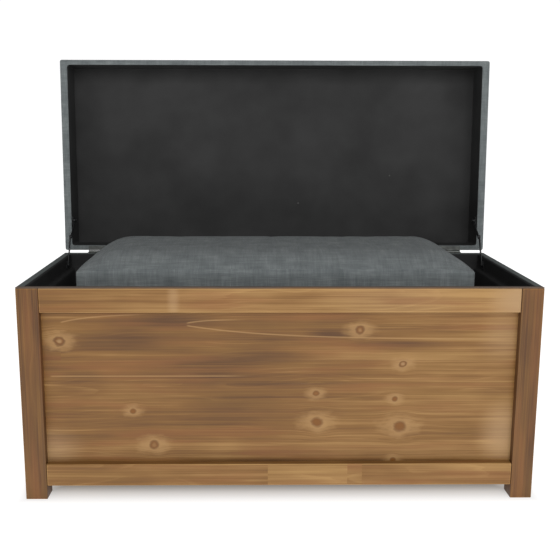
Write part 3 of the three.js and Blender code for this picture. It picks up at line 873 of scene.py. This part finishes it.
def floor_lining(material):
    """The cloth that lies on the floor board, very slightly wavy."""
    low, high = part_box("lining_floor")
    xs, ys = (rows(length, [3 * MM], LINING_CELL) for length in (high.x - low.x, high.y - low.y))
    middle = (low.z + high.z) / 2
    points = [
        Vector((low.x + x, low.y + y, middle + 0.1 * (waves(Vector((x, y, 0))) - WAVE / 2)))
        for y, x in product(ys, xs)
    ]
    piece = skin_piece("floor_lining", points, grid_quads(len(ys), len(xs)), material)
    finish_lining(piece, "chest", "lining_floor")
    return piece


def lid_lining(material):
    """One cloth folded into the lid's recess: under the lid board and down the four walls."""
    low, high = own_box("lid_lining")
    size = high - low
    xs, ys, zs = (rows(length, [2 * MM, 3 * MM, 5 * MM], 11 * MM) for length in size)
    lattice, quads = block_skin((xs, ys, zs), (0, 0))
    half = Vector((size.x / 2, size.y / 2, 0))
    skin = FABRIC / 2
    points = []
    for i, j, k in lattice:
        x, y = rounded_corner(xs[i] - half.x, ys[j] - half.y, half.x, half.y, 5 * MM)
        point = Vector((x, y, zs[k]))
        on_board = k == len(zs) - 1
        off = skin + waves(point) * (1.4 if on_board else min(1.0, zs[k] / (20 * MM)))
        point.x -= math.copysign(off, x) * (i in (0, len(xs) - 1))
        point.y -= math.copysign(off, y) * (j in (0, len(ys) - 1))
        point.z -= off * on_board
        points.append(low + half + point)
    piece = skin_piece("recess_lining", points, quads, material)
    finish_lining(piece, "lid", "lid_lining")
    return piece


# ---- Screws
def add_screw(bm, place, facing, radius):
    """A countersunk head with a cross recess, its top at place, facing along a unit vector."""
    sides, depth = 24, 0.55 * radius
    arm, slot = 0.62 * radius, 0.16 * radius
    turn = facing.to_track_quat("Z", "Y").to_matrix().to_4x4()
    spin = Matrix.Rotation(place.x * 91, 4, "Z")  # no two crosses lie the same way
    turn = Matrix.Translation(place) @ turn @ spin
    angles = [2 * math.pi * n / sides for n in range(sides)]
    circle = [(math.cos(angle), math.sin(angle)) for angle in angles]
    quarter = [(arm, -slot), (arm, slot), (slot, slot)]
    cross = [
        (x * math.cos(a) - y * math.sin(a), x * math.sin(a) + y * math.cos(a))
        for a in (math.pi / 2 * n for n in range(4))
        for x, y in quarter
    ]

    def ring(outline, scale, z):
        return [bm.verts.new(turn @ Vector((x * scale, y * scale, z))) for x, y in outline]

    def join(first, second):
        for n in range(len(first)):
            after = (n + 1) % len(first)
            bm.faces.new([first[n], first[after], second[after], second[n]])

    rim = ring(circle, radius, 0)
    bevel = ring(circle, 0.94 * radius, 0.04 * radius)
    shank = ring(circle, 0.45 * radius, -depth)
    mouth = ring(cross, 1, 0.04 * radius)
    bottom = ring(cross, 0.8, -0.6 * depth)
    join(shank, rim)
    join(rim, bevel)
    join(bottom, mouth)
    bm.faces.new(reversed(shank))
    bm.faces.new(bottom)
    ends = [(loop[n - 1], loop[n]) for loop in (bevel, mouth) for n in range(len(loop))]
    edges = [bm.edges.get(pair) or bm.edges.new(pair) for pair in ends]
    bmesh.ops.triangle_fill(bm, edges=edges, use_beauty=True)


def screws(name, places, facing, radius, body, material, slot):
    """Screw heads at several places on one plate, facing along a unit vector."""
    bm = bmesh.new()
    for place in places:
        add_screw(bm, place, facing, radius)
    bmesh.ops.recalc_face_normals(bm, faces=bm.faces)
    piece = piece_from(bm, name, material)
    piece.data.set_sharp_from_angle(angle=SHARP)
    return settle(piece, body, slot)


# ---- Pieces: the wooden chest
def level_grain(side):
    """The axis that a rail's or a panel's grain follows on one side of a box."""
    return "y" if side in SIDES else "x"


def on_panel(node, share_along, share_up):
    """A place on a panel's face, at shares of its width and height, in millimetres."""
    low, high = own_box(node)
    run_axis = 0 if high.x - low.x > high.y - low.y else 1
    along = low[run_axis] + share_along * (high[run_axis] - low[run_axis])
    return along / MM, (low.z + share_up * (high.z - low.z)) / MM


def panel_copy(node, grain, seed, glued, spots, smudges, **looks):
    """A panel that is glued up at some shares of its height. Its knots (spots) and clouds (smudges)
    start with shares of its width and height; on the front panel some clouds are painted shade,
    painted sheen and painted light rather than stain."""
    lines = [on_panel(node, 0, up)[1] for up in glued]
    knots, clouds = (
        [(*on_panel(node, along, up), *rest) for along, up, *rest in marks]
        for marks in (spots, smudges)
    )
    return pine_copy(node, 0.6 * MM, grain, seed, lines=lines, knots=knots, clouds=clouds, **looks)


def front_panel():
    """The front panel: five staves, one with a short block at its left end, ten knots, clouds in the
    stain, painted shade at both ends beside the posts, pale greyish patches of painted sheen near
    the ends, a pale strip of painted light along the top edge, and the pale grain lines of a
    cathedral figure near the top."""
    node = "panel_front"
    glued = (0.17, 0.34, 0.52, 0.66)
    block = (*(on_panel(node, 0, up)[1] for up in (glued[3], 0.84)), on_panel(node, 0.062, 0)[0])
    spots = (  # share along, share up, radius in millimetres, paleness of the pith
        (0.659, 0.842, 7.5, 0.5),
        (0.060, 0.776, 8.5, 0.75),
        (0.203, 0.352, 5.5, 0.0),
        (0.244, 0.140, 8.5, 0.3),
        (0.573, 0.458, 5.5, 0.1),
        (0.733, 0.422, 5.0, 0.0),
        (0.576, 0.281, 9.5, 0.0),
        (0.745, 0.254, 10.5, 0.0),
        (0.747, 0.637, 6.0, 0.7),
        (0.733, 0.042, 5.0, 0.0),
    )
    smudges = (  # share along, share up, half length, half width, depth
        (0.17, 0.78, 130, 26, 0.40),
        (0.29, 0.90, 110, 18, 0.30),
        (0.47, 0.68, 150, 15, 0.28),
        (0.52, 0.51, 150, 11, 0.22),
        (0.60, 0.82, 60, 10, 0.40),
        (0.74, 0.75, 110, 16, 0.32),
        (0.10, 0.50, 70, 40, 0.18),
        (0.93, 0.47, 50, 20, 0.12),
        (0.70, 0.03, 420, 9, 0.40),
        (0.45, 0.035, 200, 8, 0.30),
        (0.42, 0.50, 330, 120, 0.22),
        # painted shade: narrow dark strips at both ends, beside the posts
        (0.00, 0.50, 12, 400, 0.35),
        (1.00, 0.50, 12, 400, 0.25),
        # painted sheen: pale greyish patches near both ends
        (0.03, 0.12, 80, 50, -0.3),
        (0.96, 0.20, 60, 80, -0.4),
        (0.95, 0.80, 60, 60, -0.2),
        # painted light: a pale strip along the top edge that lifts the top rail's shadow
        (0.50, 1.00, 900, 6, -0.6),
        (0.50, 0.87, 480, 34, 0.12),
        (0.50, 0.08, 480, 24, 0.12),
    )
    runs = (  # share where it starts, share where it ends, share up, swing, decay
        (0.065, 0.25, 0.94, -15, 60),
        (0.315, 0.44, 0.905, -6, 30),
        (0.315, 0.985, 0.785, 25, 150),
        (0.040, 0.45, 0.565, 0, 100),
    )
    veins = [
        (on_panel(node, start, 0)[0], *on_panel(node, end, up), swing, decay)
        for start, end, up, swing, decay in runs
    ]
    panel_copy(node, "x", 3, glued, spots, smudges, drift=0.15, blocks=[block], veins=veins)


def other_panel(side, seed):
    """A side or back panel: staves, three knots and two clouds in other places."""
    glued = (0.2, 0.41, 0.63, 0.82)
    spots = ((0.23, 0.31, 6, 0.2), (0.61, 0.7, 8, 0.7), (0.84, 0.5, 5, 0.0))
    smudges = ((0.4, 0.85, 110, 18, 0.35), (0.7, 0.2, 130, 14, 0.3))
    panel_copy(f"panel_{side}", level_grain(side), seed, glued, spots, smudges)


def build_posts():
    for seed, (end, side) in enumerate(product(ENDS, SIDES)):
        node = f"post_{end}_{side}"
        low, high = own_box(node)
        # painted shade on each post's two inner faces, beside the panels
        pooled = [(0, high.x if side == "left" else low.x), (1, high.y if end == "front" else low.y)]
        pine_copy(node, 1.2 * MM, "z", 20 + seed, tone=-0.2, pooled=pooled)


def build_rails():
    """Places on the rails are millimetres from the bench's left end: where a rail's blocks start,
    and its pale spots with their half lengths and depths."""
    joints = {"bottom_rail_front": (429, 570, 596)}
    tones = {"top_rail": 0.05, "bottom_rail": 0.12}
    drifts = {"top_rail_front": 0.3}
    pale_spots = {"top_rail_front": ((267, 14, 0.22), (862, 70, 0.45), (640, 160, 0.1))}
    left = cad_box[0].x / MM
    for seed, (level, side) in enumerate(product(("top_rail", "bottom_rail"), WALLS)):
        node = f"{level}_{side}"
        low, high = own_box(node)
        middle = (low.z + high.z) / 2 / MM
        blocks = [(low.z / MM, high.z / MM, left + start) for start in joints.get(node, ())]
        clouds = [
            (left + place, middle, half, 60, -depth)
            for place, half, depth in pale_spots.get(node, ())
        ]
        drift = drifts.get(node, 0.0)
        looks = {"tone": tones[level], "drift": drift, "blocks": blocks, "clouds": clouds}
        pine_copy(node, 1.1 * MM, level_grain(side), 40 + seed, **looks)


def build_chest():
    build_posts()
    build_rails()
    front_panel()
    for seed, side in enumerate(("rear", "left", "right")):
        other_panel(side, 60 + seed * 9)
    for node in ("floor_batten_front", "floor_batten_rear", "floor_board"):
        ply_copy(node, 0.5 * MM)
    for side in WALLS:
        node = f"rim_trim_{side}"
        shades, worn = (WORN_CHARCOAL, 0.3) if side == "front" else (CHARCOAL, 0.05)
        material = edging(f"edging_{side}", node, shades, worn)
        eased_copy(node, f"edging_{side}", 0.6 * MM, material, "charcoal_edging")
    cloth = lining_cloth("chest_lining", 32, 44, 58)
    for side in WALLS:
        wall_lining(side, cloth)
    floor_lining(cloth)


# ---- Pieces: hinge and stays
def build_hinge():
    # The zinc's colours are darker than bare zinc: a dull plate, and painted shade for the hinge, which lies
    # in shade behind the open lid.
    zinc = metal("zinc", srgb(84, 86, 84), srgb(122, 124, 121), 0.42, 0.9)
    for node, radius in (("hinge_leaf_wall", 0.25), ("hinge_leaf_lid", 0.25), ("hinge_pin", 0.2)):
        eased_copy(node, f"zinc_{node}", radius * MM, zinc, "zinc_plate")
    low, high = own_box("hinge_leaf_wall")
    trim_top = own_box("rim_trim_rear")[1].z
    half = -low.x - 50 * MM  # from the middle to the outermost screws
    count = 8
    along = [half * (2 * n / (count - 1) - 1) for n in range(count)]
    leaf_back = 2 * pivot.y - high.y
    leaf_middle = (low.y + leaf_back) / 2
    upper_face = trim_top + GAP + FABRIC
    lower_face = upper_face + GAP
    for name, height, facing, body in (
        ("screws_hinge_wall", upper_face, Vector((0, 0, 1)), "chest"),
        ("screws_hinge_lid", lower_face, Vector((0, 0, -1)), "lid"),
    ):
        places = [Vector((x, leaf_middle, height)) for x in along]
        screws(name, places, facing, 2.4 * MM, body, zinc, "zinc_plate")


STAY_PLATE = 1.5 * MM  # thickness of the stays' plates


def build_stays():
    enamel = metal("black_enamel", srgb(17, 18, 19), srgb(38, 39, 41), 0.42, 0.0)
    for side, sign in SIDES.items():
        for node in ("stay_bracket_wall", "stay_arm_lower", "stay_bracket_lid", "stay_arm_upper"):
            eased_copy(f"{node}_{side}", f"steel_{node}_{side}", 0.3 * MM, enamel, "black_steel")
        for plate, body in (("stay_bracket_wall", "chest"), ("stay_bracket_lid", "lid")):
            low, high = own_box(f"{plate}_{side}")
            face = (low.x if sign < 0 else high.x) - sign * STAY_PLATE
            middle = (low + high) / 2
            inset = (high.y - low.y) / 2 - 3 * MM
            places = [Vector((face, middle.y + shift, middle.z + shift)) for shift in (-inset, inset)]
            inward = Vector((-sign, 0, 0))
            screws(f"screws_{plate}_{side}", places, inward, 1.7 * MM, body, enamel, "black_steel")


# ---- Pieces: upholstery and the nested bench
def build_lid():
    for place in ("left", "right", "front", "rear", "top"):
        ply_copy(f"lid_board_{place}", 0.8 * MM)
    inner = own_box("lid_lining")[0]
    outer = own_box("lid_cover")[0]
    rim_x = inner.x + FABRIC - outer.x
    rim_y = inner.y + FABRIC - outer.y
    build_pad("lid", "lid", 32 * MM, (120 * MM, 110 * MM), rim_x, rim_y, 9 * MM)
    lid_lining(lining_cloth("recess_cloth", 39, 53, 69))


def build_nested_bench():
    for seed, (end, side) in enumerate(product(ENDS, SIDES)):
        pine_copy(f"nested_post_{end}_{side}", 1.2 * MM, "z", 90 + seed)
    for seed, side in enumerate(WALLS):
        pine_copy(f"nested_panel_{side}", 1.0 * MM, level_grain(side), 100 + seed)
    ply_copy("nested_seat_board", 0.8 * MM)
    build_pad("nested", "chest", 30.5 * MM, (71 * MM, 62 * MM), 0, 0, 8 * MM)


# ---- Camera, light and floor
# Metres to the right of the bench's middle, in front of its front and above the floor.
CAMERA = {"aside": -0.0479, "before": 1.4287, "height": 0.6575}
AIM = {"turn": -0.73, "down": 11.13, "roll": 0.13}  # degrees
LENS = {"sensor_width": 36, "lens": 55.14, "shift_x": 0.0297, "shift_y": 0.0203}


def place_camera():
    """A lens a little above the seat, looking slightly down."""
    camera = add_object("camera", bpy.data.cameras.new("camera"))
    place = Vector((CAMERA["aside"], cad_box[0].y - CAMERA["before"], CAMERA["height"]))
    camera.matrix_world = (
        Matrix.Translation(place)
        @ Matrix.Rotation(math.radians(AIM["turn"]), 4, "Z")
        @ Matrix.Rotation(math.radians(90 - AIM["down"]), 4, "X")
        @ Matrix.Rotation(math.radians(AIM["roll"]), 4, "Z")
    )
    for setting, value in LENS.items():
        setattr(camera.data, setting, value)
    bpy.context.scene.camera = camera


def add_key_light():
    light = add_object("key", bpy.data.lights.new("key", "AREA"))
    light.data.shape = "RECTANGLE"
    light.data.size, light.data.size_y = 2.4, 1.4
    light.data.energy = 55
    light.location = (0.3, -3.2, 1.8)
    aim = Vector((0.0, 0.0, 0.3)) - light.location
    light.rotation_euler = aim.to_track_quat("-Z", "Y").to_euler()


def build_world(seen, lit):
    """A studio that is seen at one strength behind the bench and lights it at another."""
    world = bpy.data.worlds.new("studio")
    world.use_nodes = True
    bpy.context.scene.world = world
    tree = world.node_tree
    surroundings = tree.nodes["Background"]
    surroundings.inputs["Color"].default_value = (1.0, 1.0, 1.0, 1.0)
    rays = tree.nodes.new("ShaderNodeLightPath")
    strength = tree.nodes.new("ShaderNodeMapRange")
    strength.inputs["To Min"].default_value = lit
    strength.inputs["To Max"].default_value = seen
    tree.links.new(rays.outputs["Is Camera Ray"], strength.inputs["Value"])
    tree.links.new(strength.outputs[0], surroundings.inputs["Strength"])


# The floor glows less in and round the bench's footprint: a painted shadow, on top of the real shadow there.
FLOOR_GLOW = (0.08, 0.92)  # how much the floor shines under the bench, and what is added far from it
GLOW_EDGE = (-86.0, 60.0)  # millimetres out from the feet: where the addition starts and is full


def build_studio():
    """White all round, a large soft light in front and above, and a floor that glows everywhere but
    in and round the bench's footprint, where its dimmed glow is a painted shadow on top of the real one."""
    view = bpy.context.scene.view_settings
    view.view_transform = "Standard"
    view.look = "None"
    build_world(seen=1.05, lit=0.29)
    bm = bmesh.new()
    bmesh.ops.create_grid(bm, x_segments=1, y_segments=1, size=6)
    shader = Shader("floor", Roughness=0.9, Specular_IOR_Level=0.05)
    shader.set(Base_Color=(0.5, 0.5, 0.5, 1.0), Emission_Color=(1.0, 1.0, 1.0, 1.0))
    feet = [corner for end, side in product(ENDS, SIDES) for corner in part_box(f"post_{end}_{side}")]
    beyond = [
        shader.sum((low - high) / 2 / MM, (1.0, shader.off(place, (low + high) / 2 / MM)))
        for place, low, high in zip(shader.split(shader.place())[:2], *box_round(feet))
    ]
    # painted shadow: the glow is dimmed under the bench and rises outward
    glow = shader.step(shader.most(*beyond), *GLOW_EDGE)
    shader.set(Emission_Strength=shader.sum(FLOOR_GLOW[0], (FLOOR_GLOW[1], glow)))
    piece_from(bm, "floor", shader.material)
    add_key_light()


build_chest()
build_hinge()
build_stays()
build_nested_bench()
build_lid()
place_camera()
build_studio()
